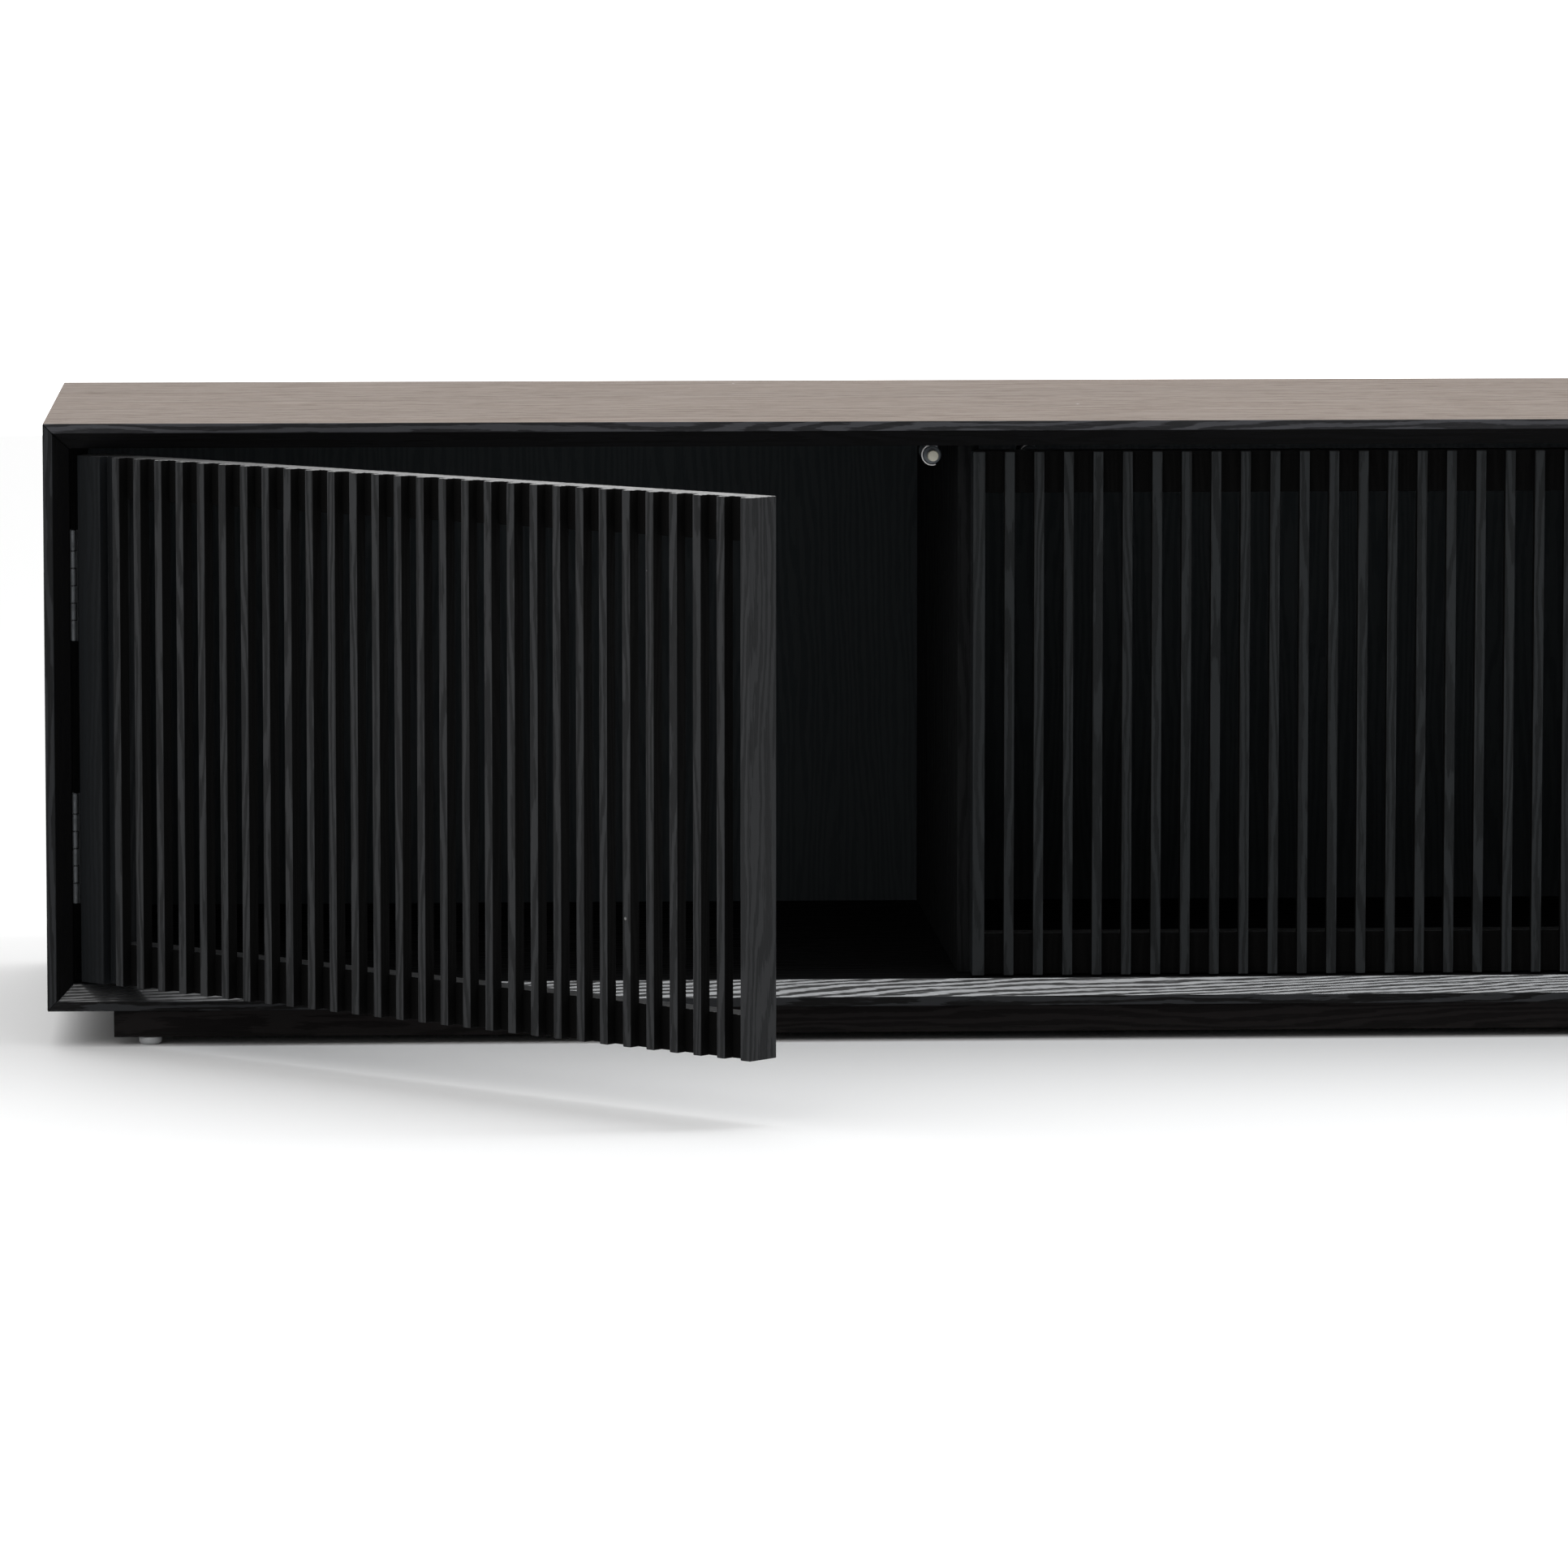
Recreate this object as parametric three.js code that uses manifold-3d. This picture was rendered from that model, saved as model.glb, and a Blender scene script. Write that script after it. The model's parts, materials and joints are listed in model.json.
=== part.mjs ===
// A low media cabinet in black-stained oak, with three inset doors made of upright slats.
// Its carcass is mitred at the corners and bevelled round the front like a picture frame.
// It stands on a recessed plinth with glides. Each door swings on two butt hinges and
// closes on a push-to-open catch. Millimetres: +X right, -Y front, +Z up.
// The origin is on the floor, at the middle of the carcass.

import * as THREE from 'three';
import { mergeVertices } from 'three/addons/utils/BufferGeometryUtils.js';
import Module from 'manifold-3d';

const wasm = await Module();
wasm.setup();

// Carcass
const WIDTH = 2000;
const DEPTH = 500;
const HEIGHT = 450;
const PANEL = 18.5;
const FRONT_EDGE = 6.5;
const BEVEL_DEPTH = 13;
const REBATE = 8;
const BACK_THICKNESS = 6;
const PARTITION = 15;

// Base
const GLIDE_HEIGHT = 6;
const GLIDE_RADIUS = 8.25;
const GLIDE_FLAT = 5;
const GLIDE_FROM_END = 26;
const PLINTH_HEIGHT = 20;
const PLINTH_INSET = 47.5;
const PLINTH_SETBACK = 8;
const PLINTH_THICKNESS = 18;

// Doors
const DOOR_RECESS = 14;
const DOOR_THICKNESS = 27;
const TOP_GAP = 4.8;
const BOTTOM_GAP = 1.5;
const HINGE_GAP = 4.5;
const MEETING_GAP = 3;
const STILE_FACE = 23;
const STILE_BACK = 33;
const FREE_STILE = 8.8;
const SLAT_COUNT = 28;
const SLAT_WIDTH = 7.4;
const SLAT_DEPTH = 8;
const FIRST_SLAT = 35.4;
const RAIL_HEIGHT = 30;
const SLAT_LET_IN = 1;
const LEFT_DOOR_OPEN = 44;

// Hinges
const HINGE_LENGTH = 80;
const HINGE_FROM_END = 77;
const END_KNUCKLE = 15;
const KNUCKLES = 6;
const KNUCKLE_RADIUS = 2.1;
const PIN_RADIUS = 1;
const PIN_CLEARANCE = 0.1;
const PIN_AHEAD = 2.5;
const LEAF_THICKNESS = 1.2;
const LEAF_WIDTH = 21;

// Catches
const CATCH_DROP = 9.5;
const CATCH_RADIUS = 6.5;
const CATCH_LENGTH = 50;
const CATCH_PLATE = 26;
const CATCH_PLATE_THICKNESS = 2;
const CATCH_NECK = 8;
const PLUNGER_RADIUS = 3.4;
const PLUNGER_SHAFT = 26;
const PLUNGER_BORE = 34;
const TIP_RADIUS = 4;
const TIP_LENGTH = 7;
const PLUNGER_TRAVEL = 4;
const STRIKE_RADIUS = 4.5;
const STRIKE_THICKNESS = 1;
const LEFT_CATCH_FROM_EDGE = 24;
const CATCH_FROM_EDGE = 44;

// Clearances
const JOINT_GAP = 0.3;
const LEAF_GAP = 0.2;
const STOP_GAP = 1.5;
const ROUND_SIDES = 12;

// Levels and edges worked out from the sizes above
const carcassBottom = GLIDE_HEIGHT + PLINTH_HEIGHT;
const carcassMiddle = (carcassBottom + HEIGHT) / 2;
const carcassHeight = HEIGHT - carcassBottom;
const floorLevel = carcassBottom + PANEL;
const ceilingLevel = HEIGHT - PANEL;
const innerRight = WIDTH / 2 - PANEL;
const front = -DEPTH / 2;
const back = DEPTH / 2;
const doorFace = front + DOOR_RECESS;
const doorBack = doorFace + DOOR_THICKNESS;
const doorBottom = floorLevel + BOTTOM_GAP;
const doorTop = ceilingLevel - TOP_GAP;
const backFace = back - REBATE;

// Three doors, two of them meeting over the left partition. The right partition comes
// forward to carry the middle door's hinges, so the middle and right doors lie either side of it.
const spareWidth = 2 * innerRight - 3 * HINGE_GAP - 2 * MEETING_GAP - PARTITION;
const doorWidth = spareWidth / 3;
const leftDoorEdge = -innerRight + HINGE_GAP;
const middleDoorEdge = leftDoorEdge + doorWidth + MEETING_GAP;
const leftPartitionX = middleDoorEdge - MEETING_GAP / 2;
const rightPartitionX = middleDoorEdge + doorWidth + HINGE_GAP + PARTITION / 2;
const slatPitch = (doorWidth - FREE_STILE - FIRST_SLAT) / SLAT_COUNT;

const cabinet = new THREE.Group();

function finish(color, roughness, metalness = 0) {
  return new THREE.MeshStandardMaterial({ color, roughness, metalness });
}

const blackOak = () => finish(0x2c2b2b, 0.55);
const topOak = () => finish(0x6e6a66, 0.4);
const darkInside = () => finish(0x1c1c1d, 0.7);
const steel = () => finish(0x8a8a8c, 0.35, 1);
const whitePlastic = () => finish(0xdadad6, 0.5);
const darkPlastic = () => finish(0x3a3a3c, 0.6);

function addPiece(parent, name, geometry, material) {
  const mesh = new THREE.Mesh(geometry, material);
  mesh.name = name;
  parent.add(mesh);
  return mesh;
}

function box(x0, x1, y0, y1, z0, z1) {
  const shape = new THREE.BoxGeometry(Math.abs(x1 - x0), y1 - y0, z1 - z0);
  return shape.translate((x0 + x1) / 2, (y0 + y1) / 2, (z0 + z1) / 2);
}

function prism(points, length) {
  const outline = new THREE.Shape(points.map(([x, y]) => new THREE.Vector2(x, y)));
  return new THREE.ExtrudeGeometry(outline, { depth: length, bevelEnabled: false });
}

function uprightRod(radius, z0, z1) {
  const rod = new THREE.CylinderGeometry(radius, radius, z1 - z0, ROUND_SIDES);
  return rod.rotateX(Math.PI / 2).translate(0, 0, (z0 + z1) / 2);
}

function levelRod(radius, y0, y1) {
  const rod = new THREE.CylinderGeometry(radius, radius, y1 - y0, ROUND_SIDES);
  return rod.translate(0, (y0 + y1) / 2, 0);
}

function solid(geometry) {
  const bare = geometry.clone();
  bare.deleteAttribute('normal');
  bare.deleteAttribute('uv');
  const merged = mergeVertices(bare, 1e-4);
  const vertProperties = new Float32Array(merged.attributes.position.array);
  const triVerts = new Uint32Array(merged.index.array);
  return new wasm.Manifold(new wasm.Mesh({ numProp: 3, vertProperties, triVerts }));
}

function geometryOf(body) {
  const { vertProperties, triVerts } = body.getMesh();
  const geometry = new THREE.BufferGeometry();
  geometry.setAttribute('position', new THREE.BufferAttribute(vertProperties, 3));
  geometry.setIndex(new THREE.BufferAttribute(triVerts, 1));
  geometry.computeVertexNormals();
  return geometry;
}

function joined(geometries) {
  return geometries.map(solid).reduce((whole, next) => whole.add(next));
}

// A carcass panel: a bevelled front edge, a rebate for the back, and mitred ends.
// Local X is the depth below the outer face and local Z runs along the panel.
function mitredPanel(length) {
  const profile = [
    [0, front],
    [FRONT_EDGE, front],
    [PANEL, front + BEVEL_DEPTH],
    [PANEL, backFace],
    [PANEL - REBATE, backFace],
    [PANEL - REBATE, back],
    [0, back],
  ];
  const panel = prism(profile, length).translate(0, 0, -length / 2);
  const place = panel.attributes.position;
  for (let i = 0; i < place.count; i += 1) {
    const end = Math.sign(place.getZ(i));
    place.setZ(i, end * (length / 2 - place.getX(i)));
  }
  panel.computeVertexNormals();
  return panel;
}

function addCarcass() {
  const top = addPiece(cabinet, 'top_panel', mitredPanel(WIDTH), topOak());
  top.position.set(0, 0, HEIGHT);
  top.rotation.y = Math.PI / 2;

  const bottom = addPiece(cabinet, 'bottom_panel', mitredPanel(WIDTH), blackOak());
  bottom.position.set(0, 0, carcassBottom);
  bottom.rotation.y = -Math.PI / 2;

  const sideLength = carcassHeight - 2 * JOINT_GAP;
  const left = addPiece(cabinet, 'left_side', mitredPanel(sideLength), blackOak());
  left.position.set(-WIDTH / 2, 0, carcassMiddle);

  const right = addPiece(cabinet, 'right_side', mitredPanel(sideLength), blackOak());
  right.position.set(WIDTH / 2, 0, carcassMiddle);
  right.rotation.y = Math.PI;
}

function addPartition(name, middle, frontEdge) {
  const z0 = floorLevel + JOINT_GAP;
  const z1 = ceilingLevel - JOINT_GAP;
  const board = box(
    middle - PARTITION / 2,
    middle + PARTITION / 2,
    frontEdge,
    backFace - JOINT_GAP,
    z0,
    z1,
  );
  addPiece(cabinet, name, board, darkInside());
}

function addBackPanel(name, x0, x1) {
  const z0 = floorLevel - REBATE + JOINT_GAP;
  const z1 = ceilingLevel + REBATE - JOINT_GAP;
  const y0 = backFace + JOINT_GAP;
  const panel = box(x0 + JOINT_GAP, x1 - JOINT_GAP, y0, y0 + BACK_THICKNESS, z0, z1);
  addPiece(cabinet, name, panel, darkInside());
}

function addBase() {
  const outer = WIDTH / 2 - PLINTH_INSET;
  const y0 = front + PLINTH_SETBACK;
  const y1 = back - PLINTH_SETBACK;
  const z0 = GLIDE_HEIGHT;
  const z1 = carcassBottom - JOINT_GAP;
  const inside = y0 + PLINTH_THICKNESS + JOINT_GAP;
  const half = PLINTH_THICKNESS / 2;
  const rails = [
    ['plinth_front', -outer, outer, y0, y0 + PLINTH_THICKNESS],
    ['plinth_back', -outer, outer, y1 - PLINTH_THICKNESS, y1],
    ['plinth_left', -outer, -outer + PLINTH_THICKNESS, inside, -inside],
    ['plinth_right', outer - PLINTH_THICKNESS, outer, inside, -inside],
    ['plinth_centre', -half, half, inside, -inside],
  ];
  for (const [name, x0, x1, yFront, yBack] of rails) {
    addPiece(cabinet, name, box(x0, x1, yFront, yBack, z0, z1), blackOak());
  }

  const cornerX = outer - GLIDE_FROM_END;
  const cornerY = DEPTH / 2 - PLINTH_SETBACK - half;
  const glides = [
    ['glide_front_left', -cornerX, -cornerY],
    ['glide_front_right', cornerX, -cornerY],
    ['glide_back_left', -cornerX, cornerY],
    ['glide_back_right', cornerX, cornerY],
    ['glide_centre', 0, 0],
  ];
  for (const [name, x, y] of glides) {
    addPiece(cabinet, name, glide(), whitePlastic()).position.set(x, y, 0);
  }
}

// A glide: a low dome with a flat face that meets the floor.
function glide() {
  const top = GLIDE_HEIGHT - JOINT_GAP;
  const shoulder = GLIDE_HEIGHT / 2;
  const dome = new THREE.Path();
  dome.moveTo(0, 0);
  dome.lineTo(GLIDE_FLAT, 0);
  dome.quadraticCurveTo(GLIDE_RADIUS, 0, GLIDE_RADIUS, shoulder);
  dome.lineTo(GLIDE_RADIUS, top);
  dome.lineTo(0, top);
  return new THREE.LatheGeometry(dome.getPoints(4), 2 * ROUND_SIDES).rotateX(Math.PI / 2);
}

// The six knuckles of a hinge, from its lower end up: the end ones are a little longer.
function knuckleSpans(z0) {
  const middleLength = (HINGE_LENGTH - 2 * END_KNUCKLE) / (KNUCKLES - 2);
  const spans = [];
  let z = z0;
  for (let i = 0; i < KNUCKLES; i += 1) {
    const length = i === 0 || i === KNUCKLES - 1 ? END_KNUCKLE : middleLength;
    spans.push([z + JOINT_GAP / 2, z + length - JOINT_GAP / 2]);
    z += length;
  }
  return spans;
}

// A hinge leaf with every second knuckle, round the pin's axis. away is the side of the pin
// that the leaf lies on: -1 or 1 along X.
function leaf(z0, away, firstKnuckle) {
  const outer = away * (HINGE_GAP / 2 - LEAF_GAP);
  const inner = outer - away * LEAF_THICKNESS;
  const [xLow, xHigh] = [Math.min(outer, inner), Math.max(outer, inner)];
  const spans = knuckleSpans(z0).filter((span, i) => i % 2 === firstKnuckle);
  const plate = box(xLow, xHigh, PIN_AHEAD, PIN_AHEAD + LEAF_WIDTH, z0, z0 + HINGE_LENGTH);
  const pieces = [plate];
  for (const [low, high] of spans) {
    pieces.push(box(xLow, xHigh, 0, PIN_AHEAD + 1, low, high));
    pieces.push(uprightRod(KNUCKLE_RADIUS, low, high));
  }
  const bore = solid(uprightRod(PIN_RADIUS + PIN_CLEARANCE, z0 - 1, z0 + HINGE_LENGTH + 1));
  return geometryOf(joined(pieces).subtract(bore));
}

// The grille of a door: slats let into the rails behind them, as one glued frame.
// side is 1 where the hinges are on the left and -1 where they are on the right.
function grille(side) {
  const edge = HINGE_GAP / 2;
  const y0 = PIN_AHEAD;
  const railFront = y0 + SLAT_DEPTH;
  const railEnds = [edge + STILE_BACK + JOINT_GAP, edge + doorWidth - FREE_STILE - JOINT_GAP];
  const span = (a, b) => [Math.min(side * a, side * b), Math.max(side * a, side * b)];
  const pieces = [];
  for (const low of [doorBottom, doorTop - RAIL_HEIGHT]) {
    const [x0, x1] = span(railEnds[0], railEnds[1]);
    pieces.push(box(x0, x1, railFront, y0 + DOOR_THICKNESS, low, low + RAIL_HEIGHT));
  }
  for (let i = 0; i < SLAT_COUNT; i += 1) {
    const start = edge + FIRST_SLAT + i * slatPitch;
    const [x0, x1] = span(start, start + SLAT_WIDTH);
    pieces.push(box(x0, x1, y0, railFront + SLAT_LET_IN, doorBottom, doorTop));
  }
  return geometryOf(joined(pieces));
}

// The hinge stile: narrow at the front, wider behind the first slat.
function hingeStile(side) {
  const edge = HINGE_GAP / 2;
  const y0 = PIN_AHEAD;
  const step = y0 + SLAT_DEPTH;
  const y1 = y0 + DOOR_THICKNESS;
  const outline = [
    [edge, y0],
    [edge + STILE_FACE, y0],
    [edge + STILE_FACE, step],
    [edge + STILE_BACK, step],
    [edge + STILE_BACK, y1],
    [edge, y1],
  ];
  const mirrored = outline.map(([x, y]) => [side * x, y]);
  return prism(mirrored, doorTop - doorBottom).translate(0, 0, doorBottom);
}

function freeStile(side) {
  const outer = HINGE_GAP / 2 + doorWidth;
  const [x0, x1] = side > 0 ? [outer - FREE_STILE, outer] : [-outer, FREE_STILE - outer];
  return box(x0, x1, PIN_AHEAD, PIN_AHEAD + DOOR_THICKNESS, doorBottom, doorTop);
}

// A catch under the top panel. Its plunger faces the front and bears on a strike disc
// on the back of the door.
function addCatch(name, x) {
  const z = ceilingLevel - CATCH_DROP;
  const tipFace = doorBack + STRIKE_THICKNESS + 2 * JOINT_GAP;
  const housingFront = tipFace + TIP_LENGTH + PLUNGER_TRAVEL + JOINT_GAP;
  const housingBack = housingFront + CATCH_LENGTH;
  const plateTop = CATCH_DROP - JOINT_GAP;
  const plateLow = plateTop - CATCH_PLATE_THICKNESS;
  const half = CATCH_PLATE / 2;
  const neck = CATCH_NECK / 2;
  const body = joined([
    levelRod(CATCH_RADIUS, housingFront, housingBack),
    box(-neck, neck, housingFront, housingBack, 0, plateLow + 1),
    box(-half, half, housingFront, housingBack, plateLow, plateTop),
  ]);
  const boreRadius = PLUNGER_RADIUS + 2 * PIN_CLEARANCE;
  const bore = levelRod(boreRadius, housingFront - 1, housingFront + PLUNGER_BORE);
  const housing = geometryOf(body.subtract(solid(bore)));
  addPiece(cabinet, `${name}_catch_housing`, housing, darkPlastic()).position.set(x, 0, z);

  const plunger = joined([
    levelRod(TIP_RADIUS, tipFace, tipFace + TIP_LENGTH),
    levelRod(PLUNGER_RADIUS, tipFace + 1, tipFace + TIP_LENGTH + PLUNGER_SHAFT),
  ]);
  addPiece(cabinet, `${name}_catch_plunger`, geometryOf(plunger), whitePlastic()).position.set(x, 0, z);
}

// A door on its two hinges. closedEdge is the X of the edge that the hinges are on.
function addDoor(name, closedEdge, side, openAngle, catchFromEdge) {
  const pinX = closedEdge - side * HINGE_GAP / 2;
  const pinY = doorFace - PIN_AHEAD;
  const still = new THREE.Group();
  still.position.set(pinX, pinY, 0);
  const door = new THREE.Group();
  door.position.set(pinX, pinY, 0);
  door.rotation.z = THREE.MathUtils.degToRad(-side * openAngle);
  cabinet.add(still, door);

  addPiece(door, `${name}_door_hinge_stile`, hingeStile(side), blackOak());
  addPiece(door, `${name}_door_free_stile`, freeStile(side), blackOak());
  addPiece(door, `${name}_door_grille`, grille(side), blackOak());

  const hinges = [
    ['upper', HEIGHT - HINGE_FROM_END - HINGE_LENGTH],
    ['lower', carcassBottom + HINGE_FROM_END],
  ];
  for (const [level, z0] of hinges) {
    const title = `${name}_door_${level}_hinge`;
    addPiece(still, `${title}_cabinet_leaf`, leaf(z0, -side, 1), steel());
    addPiece(door, `${title}_door_leaf`, leaf(z0, side, 0), steel());
    addPiece(still, `${title}_pin`, uprightRod(PIN_RADIUS, z0, z0 + HINGE_LENGTH), steel());
  }

  const catchAcross = HINGE_GAP / 2 + doorWidth - catchFromEdge;
  const strike = levelRod(STRIKE_RADIUS, 0, STRIKE_THICKNESS);
  const disc = addPiece(door, `${name}_door_strike`, strike, steel());
  const strikeY = PIN_AHEAD + DOOR_THICKNESS + JOINT_GAP;
  disc.position.set(side * catchAcross, strikeY, ceilingLevel - CATCH_DROP);
  addCatch(name, pinX + side * catchAcross);
}

addCarcass();
addPartition('left_partition', leftPartitionX, doorBack + STOP_GAP);
addPartition('right_partition', rightPartitionX, doorFace);
const backEdge = innerRight + REBATE;
addBackPanel('left_back_panel', -backEdge, leftPartitionX);
addBackPanel('middle_back_panel', leftPartitionX, rightPartitionX);
addBackPanel('right_back_panel', rightPartitionX, backEdge);
addBase();
addDoor('left', leftDoorEdge, 1, LEFT_DOOR_OPEN, LEFT_CATCH_FROM_EDGE);
addDoor('middle', middleDoorEdge + doorWidth, -1, 0, CATCH_FROM_EDGE);
addDoor('right', innerRight - HINGE_GAP, -1, 0, CATCH_FROM_EDGE);

export default cabinet;
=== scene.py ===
import json
import math
import random

import bmesh
import bpy
from mathutils import Matrix, Vector


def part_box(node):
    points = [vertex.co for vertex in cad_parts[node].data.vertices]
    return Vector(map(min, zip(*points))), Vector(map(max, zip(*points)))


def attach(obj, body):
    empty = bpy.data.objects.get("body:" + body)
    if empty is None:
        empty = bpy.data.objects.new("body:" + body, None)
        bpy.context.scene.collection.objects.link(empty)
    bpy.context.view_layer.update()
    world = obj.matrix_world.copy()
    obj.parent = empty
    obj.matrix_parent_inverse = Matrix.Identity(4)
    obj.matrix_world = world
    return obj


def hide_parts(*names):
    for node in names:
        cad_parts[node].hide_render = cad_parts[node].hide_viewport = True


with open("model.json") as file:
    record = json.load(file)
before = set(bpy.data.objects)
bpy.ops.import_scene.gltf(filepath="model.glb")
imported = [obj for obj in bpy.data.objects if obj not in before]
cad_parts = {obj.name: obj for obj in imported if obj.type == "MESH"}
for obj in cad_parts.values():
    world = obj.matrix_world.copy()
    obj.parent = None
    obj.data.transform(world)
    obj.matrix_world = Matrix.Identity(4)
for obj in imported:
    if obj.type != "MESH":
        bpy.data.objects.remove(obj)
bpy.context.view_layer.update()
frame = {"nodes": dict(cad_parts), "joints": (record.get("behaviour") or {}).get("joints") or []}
MM = 0.001

# The view: a long lens at standing height, well back from the cabinet's left half,
# so that the top is seen at a low angle and the open door shows its free edge.
camera_data = bpy.data.cameras.new("camera")
camera_data.sensor_width = 36
camera_data.lens = 200.7
camera_data.clip_end = 100
camera = bpy.data.objects.new("camera", camera_data)
bpy.context.scene.collection.objects.link(camera)
camera.location = (-0.786, -6.516, 0.852)
camera.rotation_euler = (math.radians(90 - 6.04), 0, math.radians(-2.9))
bpy.context.scene.camera = camera
bpy.context.scene.view_settings.view_transform = "Standard"


# The studio: a white floor, a long soft light overhead, a large weak one at the front left,
# and a surround that is white behind the cabinet and dim in front of it.
class Value:
    """A shader socket that adds, subtracts and multiplies as a number does."""

    def __init__(self, finish, socket):
        self.finish = finish
        self.socket = socket

    def math(self, operation, *values):
        inputs = dict(enumerate(values))
        return self.finish.node("ShaderNodeMath", {"operation": operation}, inputs)

    def __add__(self, other):
        return self.math("ADD", self, other)

    def __mul__(self, other):
        return self.math("MULTIPLY", self, other)

    def __sub__(self, other):
        return self.math("SUBTRACT", self, other)

    def __rsub__(self, other):
        return self.math("SUBTRACT", other, self)

    __radd__ = __add__
    __rmul__ = __mul__

    def step(self, low, high):
        """0 below low, 1 above high, smooth between."""
        settings = {"interpolation_type": "SMOOTHSTEP"}
        return self.finish.node("ShaderNodeMapRange", settings, {0: self, 1: low, 2: high})

    def sine(self):
        return self.math("SINE", self)


class Finish:
    """A node tree that is filled by one call a node."""

    def __init__(self, tree):
        self.tree = tree
        tree.nodes.clear()

    def node(self, kind, settings, inputs, output=0):
        node = self.tree.nodes.new(kind)
        for name, value in settings.items():
            setattr(node, name, value)
        for name, value in inputs.items():
            if isinstance(value, Value):
                self.tree.links.new(value.socket, node.inputs[name])
            else:
                node.inputs[name].default_value = value
        return Value(self, node.outputs[output]) if node.outputs else None

    def blend(self, share, first, second):
        settings = {"data_type": "RGBA"}
        return self.node("ShaderNodeMix", settings, {0: share, 6: first, 7: second}, 2)


def new_finish(name):
    """A material and the node tree that its finish goes into."""
    material = bpy.data.materials.new(name)
    material.use_nodes = True
    return material, Finish(material.node_tree)


def soft_light(name, place, aim, width, height, radiance, colour):
    """A rectangular light that is as bright as radiance says, whatever its size."""
    data = bpy.data.lights.new(name, "AREA")
    data.shape = "RECTANGLE"
    data.size = width
    data.size_y = height
    data.energy = radiance * math.pi * width * height
    data.color = colour
    light = bpy.data.objects.new(name, data)
    bpy.context.scene.collection.objects.link(light)
    light.location = place
    light.rotation_euler = (Vector(aim) - Vector(place)).to_track_quat("-Z", "Y").to_euler()
    light.visible_camera = False


soft_light("overhead", (0.7, -0.48, 2.3), (0.7, -0.48, 0), 3, 0.35, 5, (0.94, 0.97, 1))
soft_light(
    "front_left", (-3.4, -3.4, 2.1), (-0.5, 0, 0.2), 4.6, 3.8, 0.93, (1, 0.99, 0.98)
)

world = bpy.data.worlds.new("surround")
bpy.context.scene.world = world
world.use_nodes = True
sky = Finish(world.node_tree)
direction = sky.node("ShaderNodeTexCoord", {}, {})
depth_share = sky.node("ShaderNodeSeparateXYZ", {}, {0: direction}, 1)
height_share = sky.node("ShaderNodeSeparateXYZ", {}, {0: direction}, 2)
below = 1 - height_share.step(-0.03, -0.02)
behind = depth_share.step(-0.5, 0.6) * 0.95
overhead = height_share.step(0.25, 0.9) * 0.62
brightness = behind + overhead + below + 0.25
background = sky.node("ShaderNodeBackground", {}, {"Color": (1, 1, 1, 1), "Strength": brightness})
sky.node("ShaderNodeOutputWorld", {}, {"Surface": background})

FLOOR_SIZE = 13
floor_shape = bmesh.new()
bmesh.ops.create_grid(floor_shape, x_segments=1, y_segments=1, size=FLOOR_SIZE / 2)
floor_mesh = bpy.data.meshes.new("floor")
floor_shape.to_mesh(floor_mesh)
floor_shape.free()
floor = bpy.data.objects.new("floor", floor_mesh)
bpy.context.scene.collection.objects.link(floor)
floor_material, paint = new_finish("floor")
floor_paint = {"Base Color": (0.88, 0.88, 0.88, 1), "Roughness": 0.9, "Specular IOR Level": 0.1}
floor_shader = paint.node("ShaderNodeBsdfPrincipled", {}, floor_paint)
paint.node("ShaderNodeOutputMaterial", {}, {"Surface": floor_shader})
floor_mesh.materials.append(floor_material)


# The carcass: four oak boards, mitred and glued at the corners, with an inner bevel round
# the front. The oak is brushed, stained black and lacquered; its pores stay open and dull.
OBJECT = 3  # the Object output of a Texture Coordinate node
COAT_ROUGHNESS = 0.28
COAT_IOR = 1.9
SPECK = (0.8, 0.8, 0.8, 1)


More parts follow.
